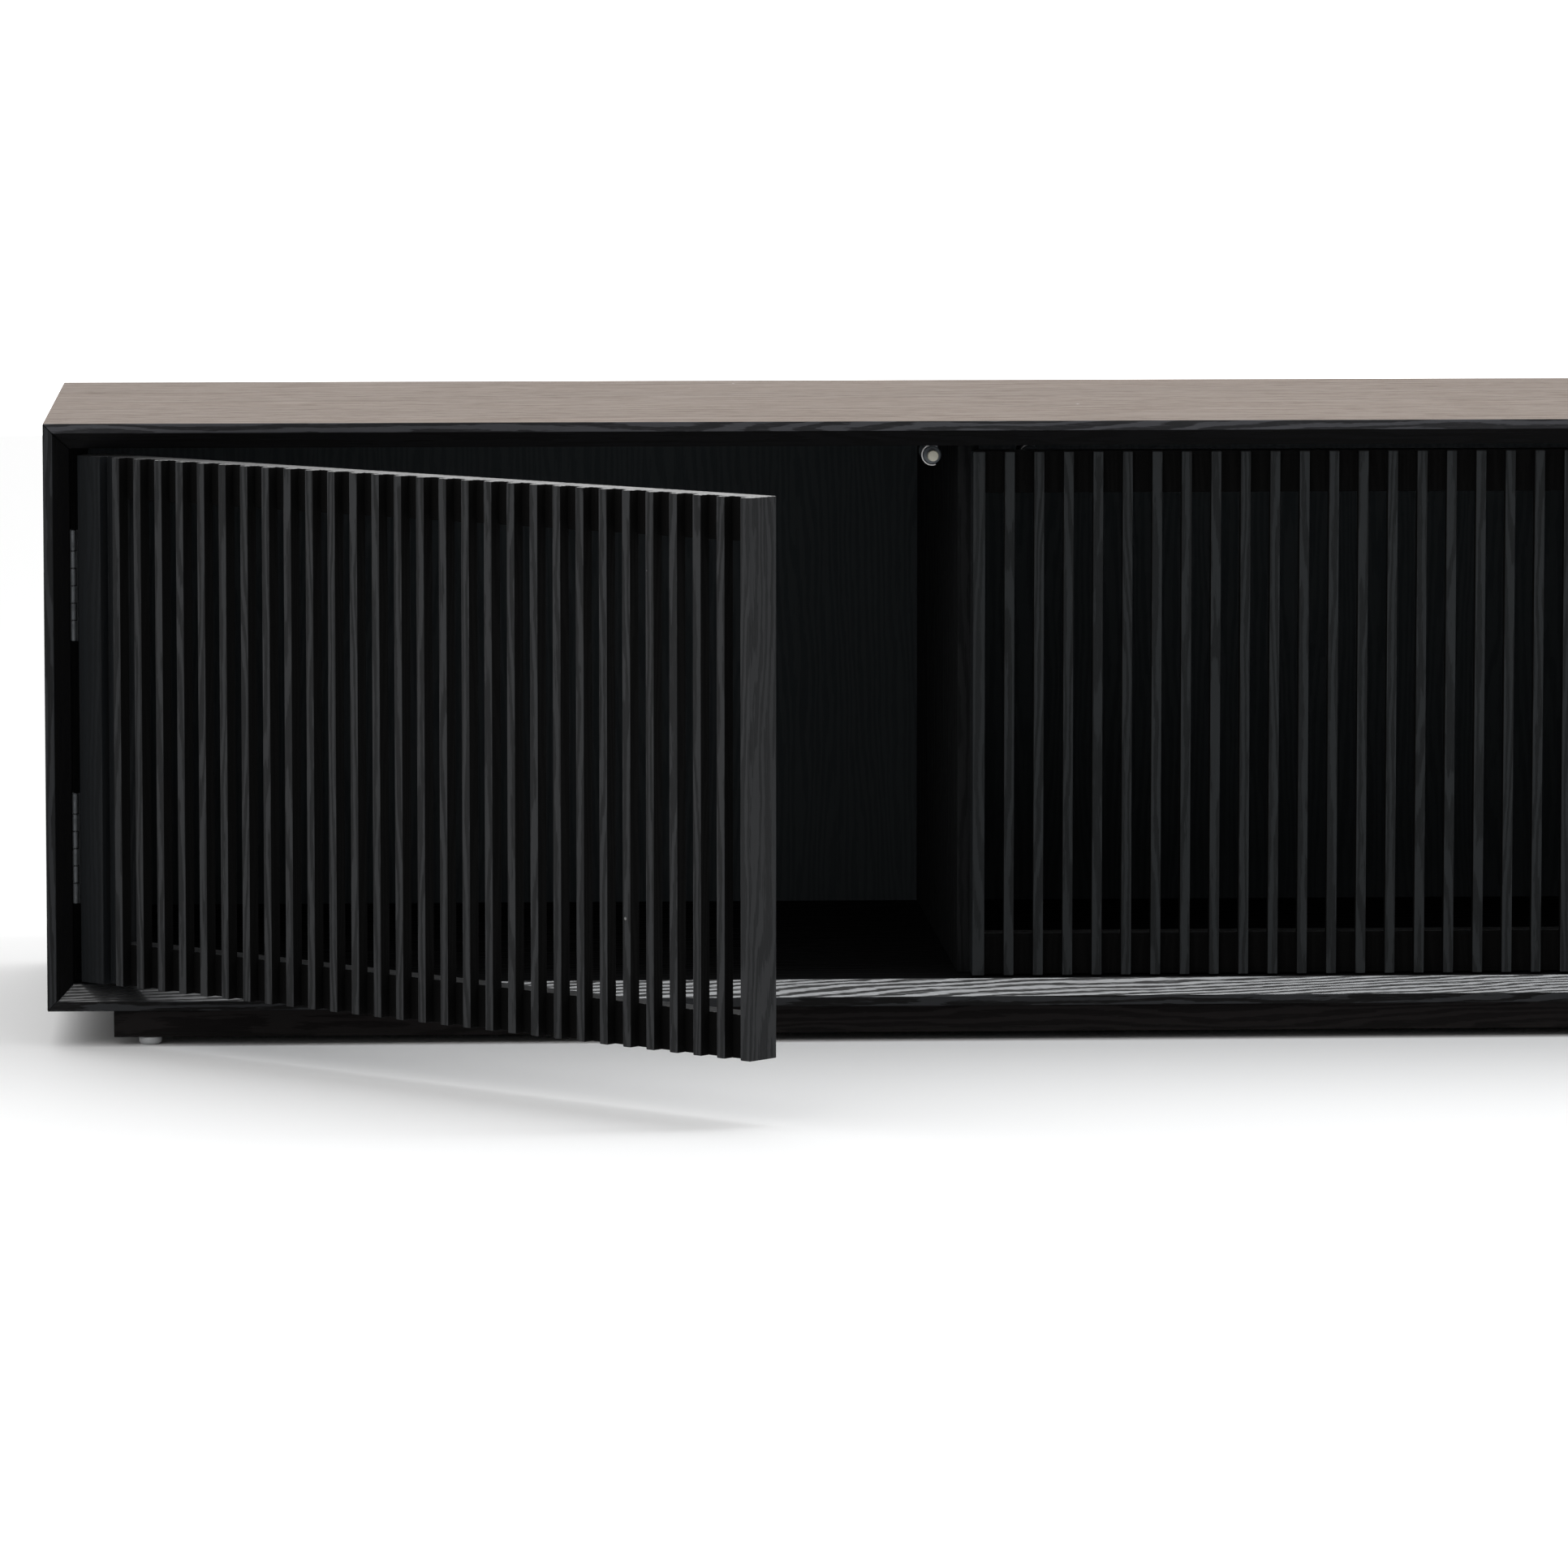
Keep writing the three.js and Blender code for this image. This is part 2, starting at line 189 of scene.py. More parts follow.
def oak(
    name,
    wood,
    pore,
    gloss,
    grain,
    specular=0.15,
    coat=0.0,
    streaks=1.0,
    turn=0.0,
    sticks=False,
    figure=6.5 * MM,
    slant=0.045,
    broken=0.0,
    ragged=1.6,
    flow=1.0,
    dust=0.0,
):
    """
    Brushed and stained oak. grain is the direction of its fibres, and turn turns it about Z.
    figure is the width of a growth ring, slant how far the rings run off the board, ragged and
    flow how uneven they are, broken how much of a ring's pores are closed, and dust how many
    pale specks lie on the lacquer. sticks gives each stick of a piece its own piece of wood.
    """
    material, finish = new_finish(name)
    place = finish.node("ShaderNodeTexCoord", {}, {}, OBJECT)
    if turn:
        place = finish.node("ShaderNodeMapping", {}, {0: place, "Rotation": (0, 0, turn)})
    if sticks:
        number = finish.node("ShaderNodeAttribute", {"attribute_name": "stick"}, {}, 2)
        far_off = (0.37, 0.53, 0.91)
        scale = {0: far_off, "Scale": number}
        offset = finish.node("ShaderNodeVectorMath", {"operation": "SCALE"}, scale)
        place = finish.node("ShaderNodeVectorMath", {"operation": "ADD"}, {0: place, 1: offset})

    def stretched(along, across):
        scale = tuple(along * g + across * (1 - g) for g in grain)
        return finish.node("ShaderNodeMapping", {}, {0: place, "Scale": scale})

    def noise(vector, detail, roughness=0.6):
        values = {"Vector": vector, "Scale": 1.0, "Detail": detail, "Roughness": roughness}
        return finish.node("ShaderNodeTexNoise", {}, values)

    def part(axis):
        return finish.node("ShaderNodeSeparateXYZ", {}, {0: place}, axis)

    fibre = noise(stretched(9, 700), 5, 0.7)
    cloud = noise(stretched(1.6, 14), 2)
    dash = noise(stretched(55, 1500), 3)
    across = part(1) + part(2) * 0.8 - part(0) * slant if grain[0] else part(0) + part(1) * 0.8
    uneven = noise(stretched(14, 160), 4, 0.7) * (figure * ragged)
    wander = cloud * 0.08 + noise(stretched(5, 40), 2) * 0.02
    rings = ((across + wander * flow + uneven) * (2 * math.pi / figure)).sine() * 0.5 + 0.5
    porous = rings.step(0.35, 0.65) * dash.step(0.22 + broken, 0.48 + broken)
    open_pores = porous.math("MAXIMUM", porous, dash.step(0.6, 0.7) * 0.6)
    shade = cloud * 0.5 + fibre * 0.7 - 0.1
    light_wood = finish.blend(shade, tuple(c * 0.6 for c in wood) + (1,), tuple(wood) + (1,))
    colour = finish.blend(open_pores * streaks, light_wood, tuple(pore) + (1,))
    if dust:
        cells = {"Vector": place, "Scale": 26.0}
        speck = 1 - finish.node("ShaderNodeTexVoronoi", {}, cells).step(0.02, 0.035)
        chosen = noise(finish.node("ShaderNodeMapping", {}, {0: place, "Scale": (31, 31, 31)}), 1)
        colour = finish.blend(speck * chosen.step(0.56, 0.6) * dust, colour, SPECK)
    roughness = open_pores * 0.3 + fibre * 0.12 + gloss
    height = fibre * 0.35 - open_pores * streaks
    bump = finish.node(
        "ShaderNodeBump", {}, {"Strength": 0.25, "Distance": 0.2 * MM, "Height": height}
    )
    lacquer = (1 - open_pores * streaks) * coat
    shader = finish.node(
        "ShaderNodeBsdfPrincipled",
        {},
        {
            "Base Color": colour,
            "Roughness": roughness,
            "Specular IOR Level": specular,
            "Coat Weight": lacquer,
            "Coat Roughness": COAT_ROUGHNESS,
            "Coat IOR": COAT_IOR,
            "Normal": bump,
        },
    )
    finish.node("ShaderNodeOutputMaterial", {}, {"Surface": shader})
    return material


ALONG = (1, 0, 0)
UPRIGHT = (0, 0, 1)
BLACK = (0.025, 0.0265, 0.029)
PORE = (0.004, 0.004, 0.004)
# The top's brown is partly the oak's own brown undertone and partly painted sheen: it is far
# lighter than the black of the carcass's other faces.
SHEEN_BROWN = (0.155, 0.098, 0.06)
SHEEN_BROWN_PORE = (0.06, 0.035, 0.024)
top_oak = oak(
    "top_oak",
    SHEEN_BROWN,
    SHEEN_BROWN_PORE,
    0.42,
    ALONG,
    specular=0.42,
    streaks=0.75,
    figure=14 * MM,
    broken=0.18,
    ragged=2.0,
    dust=1.0,
)
sill_oak = oak(
    "sill_oak",
    BLACK,
    PORE,
    0.33,
    ALONG,
    specular=0.8,
    coat=1.0,
    streaks=1.0,
    figure=4 * MM,
    slant=0.09,
    ragged=1.4,
    flow=0.4,
)
level_oak = oak("level_oak", BLACK, PORE, 0.45, ALONG)
# Painted highlight: the top panel's edges get a lighter black than the other faces, for the light
# they catch.
LIT_EDGE_BLACK = (0.062, 0.063, 0.07)
lit_edge_oak = oak("lit_edge_oak", LIT_EDGE_BLACK, PORE, 0.45, ALONG, streaks=0.7)
upright_oak = oak("upright_oak", BLACK, PORE, 0.45, UPRIGHT, streaks=0.6)
# Painted shade: the undersides, the inner bevels, the compartments' floor and the sides' inner
# faces get a near-black copy of the oak, for the shade they lie in.
PAINTED_SHADE = (0.005, 0.005, 0.0055)
shaded_oak = oak("shaded_oak", PAINTED_SHADE, PORE, 0.6, ALONG, specular=0.06, streaks=0.6)
shaded_upright_oak = oak("shaded_upright_oak", PAINTED_SHADE, PORE, 0.6, UPRIGHT, specular=0.06, streaks=0.6)


def finished(name, shape, material, body, smooth=False):
    """Makes an object of a bmesh, gives it its finish and lets it ride on a body."""
    for face in shape.faces:
        face.smooth = smooth
    if smooth:
        for edge in shape.edges:
            edge.smooth = edge.calc_face_angle(0) < math.radians(35)
    mesh = bpy.data.meshes.new(name)
    shape.to_mesh(mesh)
    shape.free()
    piece = bpy.data.objects.new(name, mesh)
    bpy.context.scene.collection.objects.link(piece)
    mesh.materials.append(material)
    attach(piece, body)
    return piece


def ease(shape, edges, width, segments=2):
    """Rounds edges off."""
    bmesh.ops.bevel(
        shape,
        geom=list(edges),
        offset=width,
        segments=segments,
        profile=0.5,
        affect="EDGES",
        material=-1,
        clamp_overlap=True,
    )


def eased_board(node, material, body, width=0.5 * MM):
    """A board the shape of a CAD node, with its edges sanded round."""
    shape = bmesh.new()
    shape.from_mesh(frame["nodes"][node].data)
    bmesh.ops.remove_doubles(shape, verts=shape.verts, dist=0.01 * MM)
    bmesh.ops.dissolve_limit(
        shape, angle_limit=math.radians(1), verts=shape.verts, edges=shape.edges
    )
    ease(shape, shape.edges, width)
    board = finished(f"{node}_board", shape, material, body)
    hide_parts(node)
    return board


SLOPING = 0.6
LEVEL = 0.9
# Each board's faces take their finish by the way they face: the top's edges the painted
# highlight, the faces that look down or into the compartments the painted shade.
for node, edge, finish, slot in (
    ("top_panel", lit_edge_oak, top_oak, "top_oak"),
    ("bottom_panel", level_oak, sill_oak, "black_oak"),
):
    board = eased_board(node, edge, "carcass")
    board.data.materials.append(finish)
    board.data.materials.append(shaded_oak)
    for face in board.data.polygons:
        if face.normal.z > (LEVEL if node == "top_panel" else SLOPING):
            face.material_index = 1
        if face.normal.z < -SLOPING or (node == "bottom_panel" and face.normal.z > LEVEL):
            face.material_index = 2
# The sides' inner faces and bevels take the painted shade.
for node, inwards in (("left_side", 1), ("right_side", -1)):
    board = eased_board(node, upright_oak, "carcass")
    board.data.materials.append(shaded_upright_oak)
    for face in board.data.polygons:
        face.material_index = int(face.normal.x * inwards > SLOPING)

# The insides: two partitions housed between top and bottom, and three thin back panels
# screwed into the rebate round the carcass. They are veneered and stained matt black.
SLATE = (0.044, 0.051, 0.056)
SLATE_PORE = (0.024, 0.028, 0.03)
# Painted shade: the partitions get a near-black copy of the insides' veneer, darker than the back
# panels, for the shade in the compartments.
PARTITION_SHADE = (0.0065, 0.0072, 0.008)
inside_oak = oak("inside_oak", SLATE, SLATE_PORE, 0.6, UPRIGHT, streaks=0.2)
shaded_partition_oak = oak("shaded_partition_oak", PARTITION_SHADE, PORE, 0.6, UPRIGHT, streaks=0.3)
for partition in ("left_partition", "right_partition"):
    eased_board(partition, shaded_partition_oak, "carcass")
BACKS = ("left_back_panel", "middle_back_panel", "right_back_panel")
for panel in BACKS:
    eased_board(panel, inside_oak, "carcass", 0.3 * MM)

# The plinth: a frame of oak rails glued under the carcass, set back from its edges,
# with a centre rail against sag.
# The plinth's reddish black is partly its own tone and partly painted shade: it is darker than
# the carcass oak, for lying under the carcass.
REDDISH_SHADED = (0.006, 0.0042, 0.004)
plinth_oak = oak("plinth_oak", REDDISH_SHADED, PORE, 0.55, ALONG, streaks=0.5)
plinth_end_oak = oak("plinth_end_oak", REDDISH_SHADED, PORE, 0.55, (0, 1, 0), streaks=0.5)
for rail in ("plinth_front", "plinth_back"):
    eased_board(rail, plinth_oak, "carcass")
for rail in ("plinth_left", "plinth_right", "plinth_centre"):
    eased_board(rail, plinth_end_oak, "carcass")


# The glides: moulded nylon domes, each pushed into the plinth on a nail. They keep the
# plinth clear of the floor.
MOTTLE = 0.08


def plastic(name, colour, roughness):
    """Moulded plastic, a little uneven in gloss."""
    material, finish = new_finish(name)
    place = finish.node("ShaderNodeTexCoord", {}, {}, OBJECT)
    values = {"Vector": place, "Scale": 900.0, "Detail": 3.0, "Roughness": 0.6}
    grain = finish.node("ShaderNodeTexNoise", {}, values)
    values = {"Vector": place, "Scale": 60.0, "Detail": 2.0}
    patch = finish.node("ShaderNodeTexNoise", {}, values)
    darker = tuple(c * 0.82 for c in colour) + (1,)
    tone = finish.blend(patch, darker, tuple(colour) + (1,))
    height = {"Strength": 0.12, "Distance": 0.05 * MM, "Height": grain}
    shader = finish.node(
        "ShaderNodeBsdfPrincipled",
        {},
        {
            "Base Color": tone,
            "Roughness": patch * MOTTLE + grain * MOTTLE + roughness,
            "Normal": finish.node("ShaderNodeBump", {}, height),
        },
    )
    finish.node("ShaderNodeOutputMaterial", {}, {"Surface": shader})
    return material


def turned(shape, outline, centre, axis, steps=32):
    """Spins an outline of (radius, height) points about an axis through centre."""
    first = [shape.verts.new((radius, 0, height)) for radius, height in outline]
    edges = [shape.edges.new(pair) for pair in zip(first, first[1:])]
    bmesh.ops.spin(
        shape,
        geom=first + edges,
        cent=(0, 0, 0),
        axis=(0, 0, 1),
        angle=2 * math.pi,
        steps=steps,
        use_merge=True,
    )
    bmesh.ops.remove_doubles(shape, verts=shape.verts, dist=0.001 * MM)
    bmesh.ops.recalc_face_normals(shape, faces=shape.faces)
    place = Matrix.Translation(centre) @ Vector(axis).to_track_quat("Z", "Y").to_matrix().to_4x4()
    bmesh.ops.transform(shape, matrix=place, verts=shape.verts)


def arc(centre_radius, centre_height, radius, start, end, count):
    """Points round an edge from one angle to another, as (radius, height)."""
    points = []
    for i in range(count + 1):
        angle = math.radians(start + (end - start) * i / count)
        points.append(
            (centre_radius + radius * math.cos(angle), centre_height + radius * math.sin(angle))
        )
    return points


nylon = plastic("nylon", (0.42, 0.43, 0.44), 0.4)
GLIDES = ("front_left", "front_right", "back_left", "back_right", "centre")
GLIDE_FLAT = 5 * MM
GLIDE_DOME = 3 * MM
GLIDE_RIM = 0.4 * MM
DOME_STEPS = 7
for corner in GLIDES:
    node = f"glide_{corner}"
    low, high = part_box(node)
    radius = (high.x - low.x) / 2
    outline = [(0, 0), (GLIDE_FLAT, 0)]
    for i in range(1, DOME_STEPS + 1):
        angle = math.radians(90 * i / DOME_STEPS)
        spread = (radius - GLIDE_FLAT) * math.sin(angle)
        outline.append((GLIDE_FLAT + spread, GLIDE_DOME * (1 - math.cos(angle))))
    top = high.z - low.z
    outline += arc(radius - GLIDE_RIM, top - GLIDE_RIM, GLIDE_RIM, 0, 90, 3) + [(0, top)]
    shape = bmesh.new()
    turned(shape, outline, ((low.x + high.x) / 2, (low.y + high.y) / 2, low.z), (0, 0, 1))
    glide = finished(f"{node}_dome", shape, nylon, "carcass", True)
    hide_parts(node)


# The doors: 28 nearly square oak sticks let into a top and a bottom rail and glued, between
# a wide rebated stile at the hinges and a narrow one at the free edge.
hinge_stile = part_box("middle_door_hinge_stile")
free_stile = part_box("middle_door_free_stile")
STILE_FACE = 23 * MM
FREE_STILE = free_stile[1].x - free_stile[0].x
STILE_BACK = hinge_stile[1].x - hinge_stile[0].x
THICKNESS = hinge_stile[1].y - hinge_stile[0].y
DOOR_WIDTH = hinge_stile[1].x - free_stile[0].x
DOOR_BOTTOM = hinge_stile[0].z
DOOR_TOP = hinge_stile[1].z
SLAT_COUNT = 28
SLAT_WIDTH = 7.4 * MM
SLAT_DEPTH = 8 * MM
FIRST_SLAT = 35.4 * MM
SLAT_PITCH = (DOOR_WIDTH - FREE_STILE - FIRST_SLAT) / SLAT_COUNT
RAIL_HEIGHT = 30 * MM
LET_IN = 1 * MM
joints = {joint["name"]: joint for joint in frame["joints"]}
middle_pin = Vector(joints["middle_door_swing"]["pos_m"])
PIN_TO_EDGE = middle_pin.x - hinge_stile[1].x
PIN_AHEAD = hinge_stile[0].y - middle_pin.y
DOOR_SIDES = {"left": 1, "middle": -1, "right": -1}


def door_place(name):
    """From a closed door at its own pin to the door as it stands at rest."""
    joint = joints[f"{name}_door_swing"]
    x, y, _ = joint["pos_m"]
    opened = math.radians(-joint["range_deg"][0]) * joint["axis"][2]
    return Matrix.Translation((x, y, 0)) @ Matrix.Rotation(opened, 4, "Z")


def add_box(shape, x, y, z):
    """Adds a box between pairs of coordinates and gives its vertices."""
    size = [abs(high - low) for low, high in (x, y, z)]
    middle = [(low + high) / 2 for low, high in (x, y, z)]
    matrix = Matrix.Translation(middle) @ Matrix.Diagonal((*size, 1))
    return bmesh.ops.create_cube(shape, size=1, matrix=matrix)["verts"]


def put_on_door(shape, name):
    """Moves a shape from a closed door at its own pin to its place on the door at rest."""
    bmesh.ops.transform(shape, matrix=door_place(name), verts=shape.verts)


def lacquer_top(piece):
    """Gives the faces that look up the glossier lacquer of the carcass's sill."""
    piece.data.materials.append(sill_oak)
    for face in piece.data.polygons:
        face.material_index = int(face.normal.z > SLOPING)


# Painted shade: the rails behind the sticks and the sticks' sides get a near-black copy of the
# oak, for the shade in the gaps.
GAP_SHADE = (0.0035, 0.0035, 0.0035)
# Painted shade: the wide stiles at the hinges get a darker, bluer copy of the doors' charcoal,
# for the shade beside the carcass sides.
STILE_SHADE = (0.0075, 0.009, 0.0105)
CHARCOAL = (0.0195, 0.022, 0.0238)
# Painted light: the open left door gets a paler copy of the doors' charcoal, for the light it
# catches.
LIT_CHARCOAL = (0.0272, 0.0285, 0.0305)
STICK_EASE = 0.6 * MM
RAIL_EASE = 0.5 * MM
RAIL_CLEARANCE = 0.3 * MM
shaded_rail_oak = oak("shaded_rail_oak", GAP_SHADE, PORE, 0.7, UPRIGHT, specular=0.05, streaks=0.4)
for name, side in DOOR_SIDES.items():
    body = f"{name}_door"
    front = PIN_AHEAD
    rail_front = front + SLAT_DEPTH
    back = front + THICKNESS
    turn = -door_place(name).to_euler().z
    # The open left door is painted lighter than the closed ones.
    tone = LIT_CHARCOAL if name == "left" else CHARCOAL
    title = f"{name}_door"
    stile_oak = oak(f"{title}_stile_oak", tone, PORE, 0.45, UPRIGHT, streaks=0.35, turn=turn)
    shaded_wide_oak = oak(f"{title}_shaded_wide_stile_oak", STILE_SHADE, PORE, 0.5, UPRIGHT, streaks=0.25, turn=turn)
    slat_oak = oak(
        f"{title}_slat_oak",
        tone,
        PORE,
        0.45,
        UPRIGHT,
        streaks=0.5,
        turn=turn,
        sticks=True,
        dust=0.5,
    )

    shape = bmesh.new()
    outline = [
        (PIN_TO_EDGE, front),
        (PIN_TO_EDGE + STILE_FACE, front),
        (PIN_TO_EDGE + STILE_FACE, rail_front),
        (PIN_TO_EDGE + STILE_BACK, rail_front),
        (PIN_TO_EDGE + STILE_BACK, back),
        (PIN_TO_EDGE, back),
    ]
    face = shape.faces.new([shape.verts.new((side * x, y, DOOR_BOTTOM)) for x, y in outline])
    grown = bmesh.ops.extrude_face_region(shape, geom=[face])["geom"]
    raised = [v for v in grown if isinstance(v, bmesh.types.BMVert)]
    bmesh.ops.translate(shape, verts=raised, vec=(0, 0, DOOR_TOP - DOOR_BOTTOM))
    bmesh.ops.recalc_face_normals(shape, faces=shape.faces)
    ease(shape, shape.edges, STICK_EASE)
    put_on_door(shape, name)
    stile = finished(f"{name}_door_wide_stile", shape, shaded_wide_oak, body)
    lacquer_top(stile)
    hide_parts(f"{name}_door_hinge_stile")

    shape = bmesh.new()
    outer = PIN_TO_EDGE + DOOR_WIDTH
    across = sorted((side * (outer - FREE_STILE), side * outer))
    add_box(shape, across, (front, back), (DOOR_BOTTOM, DOOR_TOP))
    ease(shape, shape.edges, STICK_EASE)
    put_on_door(shape, name)
    stile = finished(f"{name}_door_narrow_stile", shape, stile_oak, body)
    lacquer_top(stile)
    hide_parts(f"{name}_door_free_stile")

    inner_end = PIN_TO_EDGE + STILE_BACK + RAIL_CLEARANCE
    ends = sorted((side * inner_end, side * (outer - FREE_STILE - RAIL_CLEARANCE)))
    rails = {"bottom": DOOR_BOTTOM, "top": DOOR_TOP - RAIL_HEIGHT}
    for level, low in rails.items():
        shape = bmesh.new()
        add_box(shape, ends, (rail_front, back), (low, low + RAIL_HEIGHT))
        ease(shape, shape.edges, RAIL_EASE)
        put_on_door(shape, name)
        rail = finished(f"{name}_door_{level}_rail", shape, shaded_rail_oak, body)
        lacquer_top(rail)
        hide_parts(f"{name}_door_grille")

    shape = bmesh.new()
    number = shape.verts.layers.float.new("stick")
    chance = random.Random(name)
    for i in range(SLAT_COUNT):
        start = PIN_TO_EDGE + FIRST_SLAT + i * SLAT_PITCH
        across = sorted((side * start, side * (start + SLAT_WIDTH)))
        corners = add_box(shape, across, (front, rail_front + LET_IN), (DOOR_BOTTOM, DOOR_TOP))
        share = chance.random()
        for corner in corners:
            corner[number] = share
    ease(shape, shape.edges, STICK_EASE)
    put_on_door(shape, name)
    slats = finished(f"{name}_door_slats", shape, slat_oak, body)
    # The sticks' sides take the rails' painted shade and their tops the glossier lacquer.
    slats.data.materials.append(shaded_rail_oak)
    slats.data.materials.append(sill_oak)
    outwards = door_place(name).to_3x3() @ Vector((0, -1, 0))
    for face in slats.data.polygons:
        if face.normal.z > SLOPING:
            face.material_index = 2
        elif face.normal.dot(outwards) < 0.5:
            face.material_index = 1
    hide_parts(f"{name}_door_grille")


# The hinges: two pressed-steel butt hinges to a door. Each leaf is a plate with rounded
# corners, rolled into three knuckles, and screwed on with three countersunk screws.
def steel(name, colour, roughness):
    """Satin steel with fine rolling marks."""
    material, finish = new_finish(name)
    place = finish.node("ShaderNodeTexCoord", {}, {}, OBJECT)
    drawn = finish.node("ShaderNodeMapping", {}, {0: place, "Scale": (2400, 2400, 90)})
    values = {"Vector": drawn, "Scale": 1.0, "Detail": 3.0}
    marks = finish.node("ShaderNodeTexNoise", {}, values)
    values = {"Vector": place, "Scale": 160.0, "Detail": 3.0}
    tarnish = finish.node("ShaderNodeTexNoise", {}, values).step(0.4, 0.75)
    dull = tuple(c * 0.55 for c in colour) + (1,)
    height = {"Strength": 0.15, "Distance": 0.03 * MM, "Height": marks}
    shader = finish.node(
        "ShaderNodeBsdfPrincipled",
        {},
        {
            "Base Color": finish.blend(tarnish * 0.6, tuple(colour) + (1,), dull),
            "Roughness": marks * 0.15 + tarnish * 0.15 + roughness,
            "Metallic": 1.0,
            "Normal": finish.node("ShaderNodeBump", {}, height),
        },
    )
    finish.node("ShaderNodeOutputMaterial", {}, {"Surface": shader})
    return material


hinge_steel = steel("hinge_steel", (0.1, 0.106, 0.112), 0.5)
screw_steel = steel("screw_steel", (0.5, 0.5, 0.5), 0.28)
HINGE_LENGTH = 80 * MM
END_KNUCKLE = 15 * MM
KNUCKLES = 6
KNUCKLE_RADIUS = 2.1 * MM
PIN_RADIUS = 1 * MM
BORE_RADIUS = 1.1 * MM
LEAF_THICKNESS = 1.2 * MM
LEAF_WIDTH = 21 * MM
LEAF_GAP = 0.2 * MM
KNUCKLE_GAP = 0.7 * MM
KNUCKLE_EASE = 0.25 * MM
LEAF_CORNER = 3 * MM
PIN_EASE = 0.3 * MM
SCREW_PLACES = ((0.16, 0.68), (0.5, 0.4), (0.84, 0.68))
SCREW_RADIUS = 2.7 * MM
SCREW_RISE = 0.3 * MM
SCREW_RIM = 0.9 * MM
RECESS_DEPTH = 0.2 * MM
RECESS_REACH = 1.5 * MM
RECESS_WAIST = 0.55 * MM
SCREW_SUNK = 0.05 * MM
TOUCHING = 0.01 * MM
PIN_CLEARANCE = 0.1 * MM
LEAF_OVERLAP = 0.5 * MM


def knuckle_spans(bottom):
    """The lowest and highest point of each knuckle, from the bottom up."""
    middle = (HINGE_LENGTH - 2 * END_KNUCKLE) / (KNUCKLES - 2)
    spans = []
    for i in range(KNUCKLES):
        length = END_KNUCKLE if i in (0, KNUCKLES - 1) else middle
        spans.append((bottom + KNUCKLE_GAP / 2, bottom + length - KNUCKLE_GAP / 2))
        bottom += length
    return spans


def leaf_sheet(away):
    """The two faces of a leaf, along X from the pin, nearest the pin last."""
    outer = away * (PIN_TO_EDGE - LEAF_GAP)
    return outer, outer - away * LEAF_THICKNESS


def join_shape(shape, other):
    """Moves another bmesh into this one."""
    mesh = bpy.data.meshes.new("joined")
    other.to_mesh(mesh)
    other.free()
    shape.from_mesh(mesh)
    bpy.data.meshes.remove(mesh)


def leaf_shape(bottom, away, first):
    """A leaf at its pin, with its own three knuckles. away is its side of the pin."""
    shape = bmesh.new()
    sheet = sorted(leaf_sheet(away))
    far = PIN_AHEAD + LEAF_WIDTH
    add_box(shape, sheet, (PIN_AHEAD, far), (bottom, bottom + HINGE_LENGTH))
    far_corners = [
        edge
        for edge in shape.edges
        if all(abs(v.co.y - far) < TOUCHING for v in edge.verts)
        and abs(edge.verts[0].co.z - edge.verts[1].co.z) < TOUCHING
    ]
    ease(shape, far_corners, LEAF_CORNER, 4)
    for low, high in knuckle_spans(bottom)[first::2]:
        joined = (BORE_RADIUS + PIN_CLEARANCE, PIN_AHEAD + LEAF_OVERLAP)
        add_box(shape, sheet, joined, (low, high))
        tube = bmesh.new()
        length = high - low
        lip = KNUCKLE_RADIUS - KNUCKLE_EASE
        outline = [(BORE_RADIUS, 0), (lip, 0), (KNUCKLE_RADIUS, KNUCKLE_EASE)]
        outline += [(KNUCKLE_RADIUS, length - KNUCKLE_EASE), (lip, length)]
        outline += [(BORE_RADIUS, length), (BORE_RADIUS, 0)]
        turned(tube, outline, (0, 0, low), (0, 0, 1), 24)
        join_shape(shape, tube)
    return shape


def add_screw(shape, centre, out):
    """A countersunk screw head with a cross recess, facing out."""
    head = bmesh.new()
    bmesh.ops.create_cone(
        head,
        cap_ends=True,
        segments=16,
        radius1=SCREW_RADIUS,
        radius2=SCREW_RADIUS * 0.9,
        depth=SCREW_RISE,
    )
    top = max(head.faces, key=lambda face: face.calc_center_median().z)
    bmesh.ops.inset_region(head, faces=[top], thickness=SCREW_RIM)
    for i, corner in enumerate(top.verts):
        reach = RECESS_REACH if i % 4 == 0 else RECESS_WAIST
        corner.co.xy = corner.co.xy.normalized() * reach
    sunk = bmesh.ops.extrude_face_region(head, geom=[top])["geom"]
    floor_corners = [v for v in sunk if isinstance(v, bmesh.types.BMVert)]
    bmesh.ops.translate(head, verts=floor_corners, vec=(0, 0, -RECESS_DEPTH))
    bmesh.ops.delete(head, geom=[top], context="FACES_ONLY")
    place = Matrix.Translation(centre) @ Vector(out).to_track_quat("Z", "Y").to_matrix().to_4x4()
    bmesh.ops.transform(head, matrix=place, verts=head.verts)
    join_shape(shape, head)


